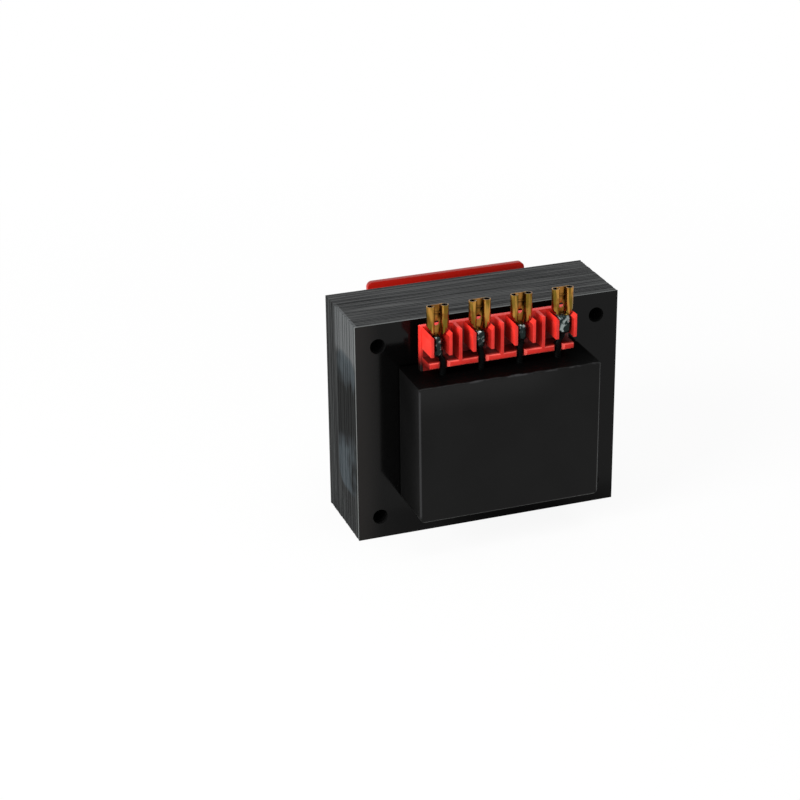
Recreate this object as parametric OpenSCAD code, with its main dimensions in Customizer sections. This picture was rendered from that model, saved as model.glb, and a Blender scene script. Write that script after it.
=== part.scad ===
// High-voltage transformer: an encapsulated coil on a laminated E and I core, with a row of
// rolled-edge receptacles in a moulded terminal block.
// Frame: millimetres, +Z up, origin at the middle of the core's underside, terminals towards -Y.

/* [Core] */
// Width of the outer limbs and of both yokes
limb_w = 16; // [12:1:24]
// Width of the centre limb that carries the coil
tongue_w = 32; // [24:1:48]
// Width of each winding window
window_w = 16; // [13:1:24]
// Height of each winding window
window_h = 48; // [40:1:72]
// Depth of the lamination stack
stack_d = 32; // [20:1:60]
// Depth of one pack of laminations before the next pack is turned round
pack_d = 4; // [2:1:8]
// Diameter of the four clamping holes
hole_d = 5.5; // [3.5:0.5:7]
// Distance from the core's edges to the middle of a clamping hole
hole_inset = 8; // [5:0.5:9]

/* [Coil] */
// How far each coil head stands out from the core's face
head_out = 20.8; // [16:0.2:30]
// How far a coil head reaches sideways past the winding window
head_side = 0.8; // [0.4:0.1:3]
// How far a coil head hangs below the winding window
head_drop = 2.2; // [0.6:0.1:5]
// Radius of the lower corners of a coil head
head_corner_r = 2.2; // [1:0.1:5]
// Radius of the outer edges of a coil head
head_edge_r = 0.8; // [0.4:0.1:1.5]
// Room between the encapsulation and the walls of the window
resin_gap = 0.6; // [0.3:0.1:1]
// Resin over the outer face of each bobbin flange
flange_cover = 0.9; // [0.5:0.1:2]
// Resin in front of the edge of a bobbin flange, in the coil heads
head_cover = 3; // [2:0.2:5]
// Resin beside the edge of a bobbin flange, in the windows
side_cover = 0.6; // [0.3:0.1:1]

/* [Bobbin and windings] */
// Room between the bobbin's tube and the centre limb
tube_gap = 0.3; // [0.1:0.05:0.6]
// Wall of the bobbin's tube
tube_wall = 1.5; // [1:0.1:2.5]
// Thickness of the bobbin's flanges
flange_t = 1.6; // [1.2:0.1:3]
// Corner radius of the bobbin's flanges
flange_r = 3; // [1:0.5:6]
// Build of the primary winding, at the window
primary_build = 5.2; // [3:0.1:6]
// Thickness of the insulating film between the windings
film_t = 0.6; // [0.3:0.1:1]
// Thickness of the tape round the secondary winding
tape_t = 0.6; // [0.3:0.1:1]
// Resin between the tape and the edge of a bobbin flange
tape_cover = 1; // [0.5:0.1:2]

/* [Terminal block] */
// Distance between neighbouring terminals
terminal_pitch = 15; // [12:0.5:16]
// Room between the core's face and the back of the block
block_gap = 4; // [2:0.2:8]
// Thickness of the block's back wall
wall_t = 2; // [1.5:0.1:3]
// How far the back wall reaches past the last cheek
wall_lap = 0.7; // [0:0.1:3]
// How far the webs and the wire shelf stand out from the back wall
web_out = 6.5; // [5.5:0.1:8]
// Thickness of the webs between the terminals
web_t = 1.2; // [1:0.1:2.5]
// Height of the wire shelf over the coil
shelf_rise = 2.9; // [2:0.1:5]
// Thickness of the wire shelf
shelf_t = 2.2; // [1.5:0.1:3]
// Radius of the wire shelf's edges
shelf_r = 0.6; // [0.3:0.1:0.7]
// Distance between neighbouring wire slots
slot_pitch = 13.9; // [12:0.1:15]
// Width of a wire slot
slot_w = 2.6; // [2.4:0.1:3.5]
// Depth of a wire slot
slot_d = 3.2; // [2.8:0.1:4]
// Chamfer at the mouth of a wire slot
slot_flare = 0.8; // [0.3:0.1:1.2]
// Room between the wire shelf and the cheeks
cheek_rise = 3; // [2:0.1:5]
// Height of the cheeks beside a terminal
cheek_h = 8; // [6:0.1:12]
// Thickness of a cheek
cheek_t = 1.1; // [0.8:0.1:2]
// Open width between the two cheeks of a terminal
cheek_open = 5.4; // [4.6:0.1:6]
// How far the cheeks stand out from the back wall
cheek_out = 8.6; // [7.5:0.1:11]
// Fall of a cheek's top towards its terminal
cheek_slope = 1.3; // [0.5:0.1:2.5]
// Chamfer at the upper front corner of a cheek
cheek_chamfer = 1; // [0.5:0.1:2]

/* [Rear barrier] */
// Room between the core's face and the rear barrier
barrier_gap = 8.2; // [4:0.2:12]
// Width of the rear barrier
barrier_w = 59.4; // [40:0.2:60]
// Height of the rear barrier over the bobbin's flange
barrier_h = 16.5; // [10:0.5:24]
// Thickness of the rear barrier
barrier_t = 2; // [1.5:0.1:3]
// Radius of the rear barrier's upper corners
barrier_r = 2; // [1:0.1:6]

/* [Terminals] */
// Outer width of a receptacle
receptacle_w = 7.8; // [7:0.1:9]
// Outer diameter of a receptacle's rolled edges
roll_d = 2.7; // [2.4:0.1:3.2]
// Thickness of the brass strip
strip_t = 0.45; // [0.3:0.05:0.6]
// Slot left for the tab under the rolled edges
tab_slot = 0.8; // [0.5:0.1:1]
// Height of a receptacle
receptacle_h = 10.5; // [9:0.1:14]
// Height of the tapered neck at the foot of a receptacle
neck_h = 3.7; // [2:0.1:5]
// How far the neck reaches down between the cheeks
neck_sink = 1.7; // [0.5:0.1:2.5]
// Width of the tail below the neck
tail_w = 2.6; // [2:0.1:3.4]
// Distance of the tail's end above the wire shelf
tail_rise = 1.6; // [0.5:0.1:2.5]
// Diameter of the hole in a receptacle's base
base_hole_d = 1.8; // [1:0.1:2.2]
// Height of that hole over the lower end of the neck
base_hole_rise = 3.9; // [3.2:0.1:6]
// Diameter of the pressed ridge that catches the tab
ridge_d = 1; // [0.8:0.1:1.2]
// Height of that ridge over the lower end of the neck
ridge_rise = 7.5; // [7:0.1:8.4]
// Room between the post and the top of the block
post_drop = 2; // [1.8:0.1:3]
// Width of the post that backs each tail
post_w = 2; // [1.5:0.1:2.6]

/* [Leads] */
// Diameter of a lead wire
wire_d = 2.2; // [1.4:0.1:2.2]
// Height of a solder joint
solder_h = 5.4; // [3.5:0.1:5.6]
// Greatest diameter of a solder joint
solder_d = 3.2; // [2.6:0.1:4]
// Greatest diameter of the last solder joint, which has the most solder
heavy_solder_d = 4.6; // [3.2:0.1:4.6]
// Solder between a lead wire and its tail
solder_film = 0.1; // [0.05:0.05:0.3]
// How far a solder joint starts below the neck
solder_drop = 0.3; // [0.1:0.1:0.6]

/* [Hidden] */
$fn = 48;
// Reach of a cut past the faces that it opens
over = 1;
terminal_count = 4;

// Core
core_w = 2 * limb_w + 2 * window_w + tongue_w;
core_h = 2 * limb_w + window_h;
face_y = stack_d / 2;
window_floor = limb_w;
window_roof = limb_w + window_h;
window_outer = tongue_w / 2 + window_w;
packs = 2 * max(1, round(stack_d / pack_d / 2));
pack_step = stack_d / packs;
hole_x = core_w / 2 - hole_inset;

// Encapsulation
resin_top = window_roof - resin_gap;
resin_floor = window_floor + resin_gap;
head_floor = window_floor - head_drop;
head_half = window_outer + head_side;
head_back = face_y + tube_gap;
head_front = face_y + head_out;

// Bobbin: tube and flanges
tube_in_x = tongue_w / 2 + tube_gap;
tube_in_y = face_y + tube_gap;
tube_x = tube_in_x + tube_wall;
tube_y = tube_in_y + tube_wall;
flange_top = resin_top - flange_cover;
flange_floor = resin_floor + flange_cover;
flange_x = window_outer - resin_gap - side_cover;
flange_y = head_front - head_cover;

// Windings: each layer's outer face as a distance from the tube, at the window
winding_floor = flange_floor + flange_t;
winding_h = flange_top - flange_t - winding_floor;
side_room = flange_x - tube_x - tape_cover;
head_room = flange_y - tube_y - tape_cover;
head_bulge = head_room / side_room;
primary_face = primary_build;
film_face = primary_face + film_t;
secondary_face = side_room - tape_t;
tape_face = side_room;

// Terminal block, with distances in front of the core's face
wall_front = block_gap + wall_t;
web_front = wall_front + web_out;
cheek_front = wall_front + cheek_out;
shelf_floor = resin_top + shelf_rise;
shelf_top = shelf_floor + shelf_t;
cheek_floor = shelf_top + cheek_rise;
block_top = cheek_floor + cheek_h;
row_half = (terminal_count - 1) / 2 * terminal_pitch;
cheek_outer = cheek_open / 2 + cheek_t;
shelf_half = row_half + cheek_outer;
wall_half = shelf_half + wall_lap;
// Side of the square, set on its corner, that flares the mouth of a wire slot
mouth_side = (slot_w / 2 + slot_flare) * sqrt(2);
// How far the shelf, webs, cheeks and posts are rooted in what carries them
root = min(wall_t, shelf_t) / 2;

// Terminals
roll_r = roll_d / 2;
neck_floor = block_top - neck_sink;
tail_floor = shelf_top + tail_rise;
slot_back = web_front - slot_d;
wire_front = web_front - slot_d / 2;
base_front = wire_front - wire_d / 2 - solder_film;
base_back = base_front - strip_t;

// Leads
solder_top = neck_floor - solder_drop;
solder_floor = solder_top - solder_h;
solder_waist = 0.62;
wire_top = solder_floor + solder_h * solder_waist;
wire_sides = 12;
wire_rings = 8;

function terminal_x(i) = (i - (terminal_count - 1) / 2) * terminal_pitch;
function joint_d(i) = i == terminal_count - 1 ? heavy_solder_d : solder_d;
function slot_x(i) = (i - (terminal_count - 1) / 2) * slot_pitch;
// Smooth step from 0 to 1 as t goes from 0 to 1
function eased(t) = t * t * (3 - 2 * t);
// Place of lead wire i at level z, as it swings from its slot to its terminal
function wire_x(i, z) =
    slot_x(i) + (terminal_x(i) - slot_x(i))
        * eased(max(0, min(1, (z - shelf_top) / (cheek_floor - shelf_top))));

// Upright plate of w by d by h, centred on the Z axis, with round upright corners
module plate(w, d, h, r) {
    translate([-w / 2 + r, -d / 2, 0])
        cube([w - 2 * r, d, h]);
    translate([-w / 2, -d / 2 + r, 0])
        cube([w, d - 2 * r, h]);
    for (sx = [-1, 1], sy = [-1, 1])
        translate([sx * (w / 2 - r), sy * (d / 2 - r), 0])
            cylinder(h = h, r = r);
}

// Turns the XY plane of its children into the XZ plane, with their height towards -Y
module stand() {
    rotate([90, 0, 0])
        children();
}

// The four clamping holes, through the whole stack
module clamping_holes() {
    for (sx = [-1, 1], z = [hole_inset, core_h - hole_inset])
        translate([sx * hole_x, face_y + over, z])
            stand()
                cylinder(h = stack_d + 2 * over, d = hole_d);
}

// Outline of one E lamination, its yoke on the X axis
module e_outline() {
    difference() {
        translate([-core_w / 2, 0])
            square([core_w, core_h - limb_w]);
        for (sx = [-1, 1])
            translate([sx * (tongue_w + window_w) / 2 - window_w / 2, limb_w])
                square([window_w, window_h + over]);
    }
}

// Outline of one I lamination, above the open ends of an E
module i_outline() {
    translate([-core_w / 2, core_h - limb_w])
        square([core_w, limb_w]);
}

// Packs of one outline along the stack, every second pack turned upside down
module interleaved() {
    for (k = [0 : packs - 1])
        translate([0, -face_y + (k + 1) * pack_step, k % 2 * core_h])
            mirror([0, 0, k % 2])
                stand()
                    linear_extrude(height = pack_step)
                        children();
}

// The three limbs, which every E has, through the whole stack
module shared_limbs() {
    for (sx = [-1, 1])
        translate([sx * (core_w - limb_w) / 2 - limb_w / 2, -face_y, limb_w])
            cube([limb_w, stack_d, window_h]);
    translate([-tongue_w / 2, -face_y, limb_w])
        cube([tongue_w, stack_d, window_h]);
}

module e_laminations() {
    color("#3a3b3d")
        difference() {
            union() {
                interleaved() e_outline();
                shared_limbs();
            }
            clamping_holes();
        }
}

module i_laminations() {
    color("#444548")
        difference() {
            interleaved() i_outline();
            clamping_holes();
        }
}

// Passage for the centre limb
module tube_passage() {
    translate([-tube_in_x, -tube_in_y, 0])
        cube([2 * tube_in_x, 2 * tube_in_y, core_h]);
}

// Tube and flanges that the coil is wound on
module spool() {
    difference() {
        union() {
            translate([0, 0, flange_floor])
                plate(2 * tube_x, 2 * tube_y, flange_top - flange_floor, tube_wall);
            for (z = [flange_floor, flange_top - flange_t])
                translate([0, 0, z])
                    plate(2 * flange_x, 2 * flange_y, flange_t, flange_r);
        }
        tube_passage();
    }
}

// Back wall of the terminal block, rooted in the front of the upper flange
module block_wall() {
    translate([-wall_half, -face_y - wall_front, flange_top - flange_t])
        cube([2 * wall_half, wall_t, block_top - flange_top + flange_t]);
}

// Shelf with an open slot for each lead wire
module wire_shelf() {
    difference() {
        translate([shelf_half, 0, 0])
            rotate([0, -90, 0])
                translate([(shelf_floor + shelf_top) / 2, -face_y - (wall_front + web_front) / 2, 0])
                    plate(shelf_t, web_out, 2 * shelf_half, shelf_r);
        for (i = [0 : terminal_count - 1])
            translate([slot_x(i), -face_y - web_front, shelf_floor - over]) {
                translate([-slot_w / 2, -over, 0])
                    cube([slot_w, slot_d + over, shelf_t + 2 * over]);
                rotate([0, 0, 45])
                    translate([-mouth_side / 2, -mouth_side / 2, 0])
                        cube([mouth_side, mouth_side, shelf_t + 2 * over]);
            }
    }
    translate([-shelf_half, -face_y - wall_front - shelf_r, shelf_floor])
        cube([2 * shelf_half, shelf_r + root, shelf_t]);
}

// Insulating web midway between two terminals, rooted in the wall and the shelf
module web() {
    translate([-web_t / 2, -face_y - web_front, shelf_top - root])
        cube([web_t, web_out + root, block_top - shelf_top + root]);
}

// Cheek on the +X side of a terminal, its top falling towards the terminal
module cheek() {
    inner = cheek_open / 2;
    difference() {
        translate([0, -face_y - wall_front + root, 0])
            stand()
                linear_extrude(height = cheek_out + root)
                    polygon([
                        [inner, cheek_floor],
                        [cheek_outer, cheek_floor],
                        [cheek_outer, block_top],
                        [inner, block_top - cheek_slope]
                    ]);
        translate([inner - over, -face_y - cheek_front, block_top - cheek_slope - cheek_chamfer])
            rotate([45, 0, 0])
                translate([0, -cheek_out, 0])
                    cube([cheek_t + 2 * over, cheek_out, cheek_out]);
    }
}

// Post on the back wall that backs a terminal's tail
module post() {
    translate([-post_w / 2, -face_y - base_back, cheek_floor])
        cube([post_w, base_back - wall_front + root, cheek_h - post_drop]);
}

// Front terminal block: back wall, wire shelf, webs, cheeks and posts
module terminal_block() {
    block_wall();
    wire_shelf();
    for (i = [1 : terminal_count - 1])
        translate([terminal_x(i) - terminal_pitch / 2, 0, 0])
            web();
    for (i = [0 : terminal_count - 1])
        translate([terminal_x(i), 0, 0]) {
            post();
            cheek();
            mirror([1, 0, 0])
                cheek();
        }
}

// Rear barrier with round upper corners, rooted in the back of the upper flange
module rear_barrier() {
    translate([0, face_y + barrier_gap + barrier_t, flange_top])
        stand() {
            translate([0, barrier_h / 2, 0])
                plate(barrier_w, barrier_h, barrier_t, barrier_r);
            translate([-barrier_w / 2, -flange_t, 0])
                cube([barrier_w, barrier_h / 2 + flange_t, barrier_t]);
        }
}

module bobbin() {
    color("#e0332b") {
        spool();
        terminal_block();
        rear_barrier();
    }
}

// Solid core of all that lies within a face given as a distance from the tube, at the window
module wound_to(face) {
    translate([0, 0, winding_floor])
        plate(
            2 * (tube_x + face), 2 * (tube_y + face * head_bulge),
            winding_h, tube_wall + face
        );
}

// One layer of the coil, between two such faces
module wound_layer(inner_face, outer_face) {
    difference() {
        wound_to(outer_face);
        wound_to(inner_face);
    }
}

module primary_winding() {
    color("#a85a2a")
        wound_layer(0, primary_face);
}

module winding_film() {
    color("#d8b45a")
        wound_layer(primary_face, film_face);
}

module secondary_winding() {
    color("#b4672f")
        wound_layer(film_face, secondary_face);
}

module outer_tape() {
    color("#2a2a2c")
        wound_layer(secondary_face, tape_face);
}

// Cast coil head in front of the core, its lower corners and outer edges rounded
module coil_head() {
    head_h = resin_top - head_floor;
    head_depth = head_front - head_back;
    intersection() {
        translate([0, -(head_front + head_back) / 2, head_floor])
            plate(2 * head_half, head_depth, head_h, head_edge_r);
        translate([0, -head_back, head_floor + (head_h + head_corner_r) / 2])
            stand()
                plate(2 * head_half, head_h + head_corner_r, head_depth, head_corner_r);
        translate([head_half, -(head_front + head_back - head_edge_r) / 2, (head_floor + resin_top) / 2])
            rotate([0, -90, 0])
                plate(head_h, head_depth + head_edge_r, 2 * head_half, head_edge_r);
    }
}

// Resin in the winding windows, between the two coil heads
module window_resin() {
    half = window_outer - resin_gap;
    translate([-half, -head_back, resin_floor])
        cube([2 * half, 2 * head_back, resin_top - resin_floor]);
}

module encapsulation() {
    color("#222224")
        difference() {
            union() {
                coil_head();
                mirror([0, 1, 0])
                    coil_head();
                window_resin();
            }
            tube_passage();
            spool();
            wound_to(tape_face);
            block_wall();
            rear_barrier();
            for (i = [0 : terminal_count - 1])
                wire_passage(slot_x(i), flange_top, resin_top + over);
        }
}

// Plan section of a receptacle: flat base, and edges rolled over a slot for the tab
module receptacle_section() {
    roll_x = receptacle_w / 2 - roll_r;
    translate([-roll_x, 0, 0])
        cube([2 * roll_x, strip_t, receptacle_h]);
    for (sx = [-1, 1])
        difference() {
            translate([sx * roll_x, roll_r, 0])
                cylinder(h = receptacle_h, r = roll_r);
            translate([sx * roll_x, roll_r, -over])
                cylinder(h = receptacle_h + 2 * over, r = roll_r - strip_t);
            translate([sx * roll_x - (sx > 0 ? roll_r + over : 0), strip_t, -over])
                cube([roll_r + over, tab_slot, receptacle_h + 2 * over]);
        }
}

// Front outline that tapers a receptacle into its neck
module neck_outline() {
    polygon([
        [-tail_w / 2, 0],
        [tail_w / 2, 0],
        [receptacle_w / 2, neck_h],
        [receptacle_w / 2, receptacle_h],
        [-receptacle_w / 2, receptacle_h],
        [-receptacle_w / 2, neck_h]
    ]);
}

// Flat tail below the neck, seated on its post
module tail() {
    translate([-tail_w / 2, -face_y - base_front, tail_floor])
        cube([tail_w, strip_t, neck_floor + neck_h / 2 - tail_floor]);
}

// One brass receptacle, standing over its cheeks with its mouth up
module terminal(i) {
    color("#b8923c")
        translate([terminal_x(i), 0, 0]) {
            translate([0, -face_y - base_back, neck_floor])
                difference() {
                    intersection() {
                        mirror([0, 1, 0])
                            receptacle_section();
                        stand()
                            linear_extrude(height = roll_d)
                                neck_outline();
                    }
                    translate([0, over, base_hole_rise])
                        stand()
                            cylinder(h = strip_t + 2 * over, d = base_hole_d);
                }
            translate([-tail_w / 2, -face_y - base_front, neck_floor + ridge_rise])
                rotate([0, 90, 0])
                    cylinder(h = tail_w, d = ridge_d - strip_t);
            tail();
        }
}

// Upright round passage of a lead wire at x, from a lower to an upper level
module wire_passage(x, low, high) {
    translate([x, -face_y - wire_front, low])
        cylinder(h = high - low, d = wire_d);
}

// Lead wire from its solder joint, down through its slot to the upper flange
module lead_wire(i) {
    levels = concat(
        [flange_top],
        [for (k = [0 : wire_rings]) shelf_top + k / wire_rings * (cheek_floor - shelf_top)],
        [wire_top]
    );
    color("#1e1c1b")
        polyhedron(
            points = [
                for (z = levels, j = [0 : wire_sides - 1])
                    [
                        wire_x(i, z) + wire_d / 2 * cos(360 * j / wire_sides),
                        -face_y - wire_front + wire_d / 2 * sin(360 * j / wire_sides),
                        z
                    ]
            ],
            faces = concat(
                [[for (j = [0 : wire_sides - 1]) j]],
                [
                    for (k = [0 : len(levels) - 2], j = [0 : wire_sides - 1])
                        [
                            k * wire_sides + j,
                            (k + 1) * wire_sides + j,
                            (k + 1) * wire_sides + (j + 1) % wire_sides,
                            k * wire_sides + (j + 1) % wire_sides
                        ]
                ],
                [[for (j = [wire_sides - 1 : -1 : 0]) (len(levels) - 1) * wire_sides + j]]
            )
        );
}

// Solder that wets the face of the tail and the end of the lead wire
module solder_joint(i) {
    r = joint_d(i) / 2;
    color("#b9bcc0")
        difference() {
            translate([terminal_x(i), -face_y - wire_front, solder_floor])
                rotate_extrude()
                    polygon([
                        [0, 0],
                        [r * solder_waist, 0],
                        [r, solder_h * (1 - solder_waist)],
                        [r, solder_h * solder_waist],
                        [r * solder_waist, solder_h],
                        [0, solder_h]
                    ]);
            wire_passage(terminal_x(i), solder_floor - over, wire_top);
            translate([terminal_x(i) - 2 * r, -face_y - base_front, solder_floor - over])
                cube([4 * r, 2 * r, solder_h + 2 * over]);
        }
}

e_laminations();
i_laminations();
bobbin();
primary_winding();
winding_film();
secondary_winding();
outer_tape();
encapsulation();
terminal(0);  // terminal_1
terminal(1);  // terminal_2
terminal(2);  // terminal_3
terminal(3);  // terminal_4
solder_joint(0);  // solder_joint_1
solder_joint(1);  // solder_joint_2
solder_joint(2);  // solder_joint_3
solder_joint(3);  // solder_joint_4
lead_wire(0);  // lead_wire_1
lead_wire(1);  // lead_wire_2
lead_wire(2);  // lead_wire_3
lead_wire(3);  // lead_wire_4
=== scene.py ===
"""Looks of the high-voltage transformer: finer pieces, finishes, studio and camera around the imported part."""

import logging
import math
import random
from collections.abc import Callable, Mapping, Sequence
from dataclasses import dataclass, field
from enum import Enum
from functools import cached_property
from typing import Any

import bpy
from bpy.types import Material, MeshPolygon, Node, NodeSocket, NodeTree, Object
from mathutils import Matrix, Vector


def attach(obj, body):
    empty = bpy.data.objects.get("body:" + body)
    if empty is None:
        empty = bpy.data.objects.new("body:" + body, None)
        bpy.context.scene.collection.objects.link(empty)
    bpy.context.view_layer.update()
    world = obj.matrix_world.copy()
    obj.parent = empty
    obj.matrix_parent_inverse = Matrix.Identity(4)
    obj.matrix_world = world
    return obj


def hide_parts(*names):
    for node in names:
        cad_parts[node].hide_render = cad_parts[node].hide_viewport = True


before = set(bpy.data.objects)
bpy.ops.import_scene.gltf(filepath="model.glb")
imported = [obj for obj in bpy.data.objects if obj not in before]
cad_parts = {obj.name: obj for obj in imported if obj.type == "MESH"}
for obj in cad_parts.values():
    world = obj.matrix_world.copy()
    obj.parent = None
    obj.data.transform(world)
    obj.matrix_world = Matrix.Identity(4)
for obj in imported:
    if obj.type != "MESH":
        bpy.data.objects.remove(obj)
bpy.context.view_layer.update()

LOG = logging.getLogger("transformer")
MM = 0.001
# How close to a plane a point counts as lying on it, and how close points are merged, in a CAD copy and in a
# new piece
FINE, MERGE, CLOSE = 0.0001 * MM, 0.002 * MM, 0.01 * MM
# Angles between the faces of a CAD copy, in degrees: up to the first they are one face, from the second on
# their edge is rounded, and up to the third it is shaded smooth
ONE_FACE, ROUNDED, SHADED = 0.5, 40, 35
BODY = "root"
WHITE = "#ffffff"
# Settings that many nodes share: a smooth rise between two values, and a mix of two colours
SMOOTH = {"interpolation_type": "SMOOTHSTEP"}
COLOUR = {"data_type": "RGBA"}
# Finished pieces, by the name of the CAD node that each stands for
Pieces = Mapping[str, Object]
# Two ends, in millimetres, between which a pattern sets in, and the size of a pattern along each axis
Span = tuple[float, float]
Grain = tuple[float, float, float]
# Values that a look takes at the two ends of a pattern
Pair = tuple[float, float]
# What the inputs of a node take, in their order or by name or number
Inputs = Mapping[Any, Any] | Sequence[Any]


def linear(colour: str) -> tuple[float, float, float, float]:
    """Turns an sRGB hex value into linear colour.

    Args:
        colour: Six hex digits after a hash sign.

    Returns:
        Linear red, green, blue and an alpha of one.
    """
    parts = [int(colour[i:i + 2], 16) / 255 for i in (1, 3, 5)]
    red, green, blue = (c / 12.92 if c <= 0.04045 else ((c + 0.055) / 1.055) ** 2.4 for c in parts)
    return red, green, blue, 1.0


def metres(span: Span) -> Span:
    """Two ends in metres."""
    return span[0] * MM, span[1] * MM


def per_mm(x: float, y: float, z: float) -> Grain:
    """Pattern scale that repeats every x, y and z millimetres."""
    return 1 / (x * MM), 1 / (y * MM), 1 / (z * MM)


def add_node(tree: NodeTree, kind: str, inputs: Inputs = (), **settings: Any) -> Node:
    """Adds one shader node with its settings, values and links.

    Args:
        tree: Node tree that gets the node.
        kind: Blender's name of the node type, without the prefix that all of them have.
        inputs: What each input takes, in their order or by name or number: a value, a hex colour, a socket,
            or a node, which stands for the first of its outputs in use.
        settings: Settings of the node itself.

    Returns:
        The new node.
    """
    node = tree.nodes.new("ShaderNode" + kind)
    for name, value in settings.items():
        setattr(node, name, value)
    for key, value in inputs.items() if isinstance(inputs, Mapping) else enumerate(inputs):
        if isinstance(value, Node):
            value = next(output for output in value.outputs if output.enabled)
        if isinstance(value, NodeSocket):
            tree.links.new(value, node.inputs[key])
        else:
            node.inputs[key].default_value = linear(value) if isinstance(value, str) else value
    return node


class Coat:
    """A material in the making: its node tree, and the place and facing that its patterns go by."""

    def __init__(self, name: str) -> None:
        """Starts an empty material.

        Args:
            name: The material's name.
        """
        self.material = bpy.data.materials.new(name)
        self.material.use_nodes = True
        self.material.node_tree.nodes.clear()
        self.where = self.add("TexCoord").outputs
        self.place = self.where["Object"]

    @cached_property
    def xyz(self) -> Sequence[NodeSocket]:
        """The place along each axis of the part."""
        return self.add("SeparateXYZ", (self.place,)).outputs

    @cached_property
    def facing(self) -> Sequence[NodeSocket]:
        """How far the surface faces along each axis of the part."""
        return self.add("SeparateXYZ", (self.where["Normal"],)).outputs

    def add(self, kind: str, inputs: Inputs = (), **settings: Any) -> Node:
        """Adds a node to this material; see add_node."""
        return add_node(self.material.node_tree, kind, inputs, **settings)

    def round_edges(self) -> Node:
        """Marks the rounded edges.

        Returns:
            One where the surface faces along no axis of the part, and zero on flat sides.
        """
        x, y, z = (self.add("Math", (share,), operation="ABSOLUTE") for share in self.facing)
        flat = self.add("Math", (x, self.add("Math", (y, z), operation="MAXIMUM")), operation="MAXIMUM")
        return self.add("MapRange", (flat, 0.995, 0.9), **SMOOTH)

    def aside(self, pitch_mm: float) -> Node:
        """Measures how far a place lies from the middle of its terminal, along the row.

        Args:
            pitch_mm: Distance from one terminal to the next.

        Returns:
            The distance, in metres.
        """
        row = self.add("Math", (self.xyz["X"], pitch_mm * MM), operation="DIVIDE")
        off = self.add("Math", (self.add("Math", (row,), operation="FRACT"), 0.5), operation="SUBTRACT")
        off = self.add("Math", (off,), operation="ABSOLUTE")
        return self.add("Math", (off, pitch_mm * MM), operation="MULTIPLY")

    def finish(self, relief: Node, depth_mm: float, **sockets: Any) -> Material:
        """Closes the material with its relief and its shader.

        Args:
            relief: Pattern that stands out from the surface.
            depth_mm: How far it stands out.
            sockets: What the shader's sockets take, with underscores for the blanks in their names.

        Returns:
            The finished material.
        """
        sockets["Normal"] = self.add("Bump", {"Height": relief, "Distance": depth_mm * MM})
        inputs = {name.replace("_", " "): value for name, value in sockets.items()}
        self.add("OutputMaterial", {"Surface": self.add("BsdfPrincipled", inputs)})
        return self.material


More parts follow.
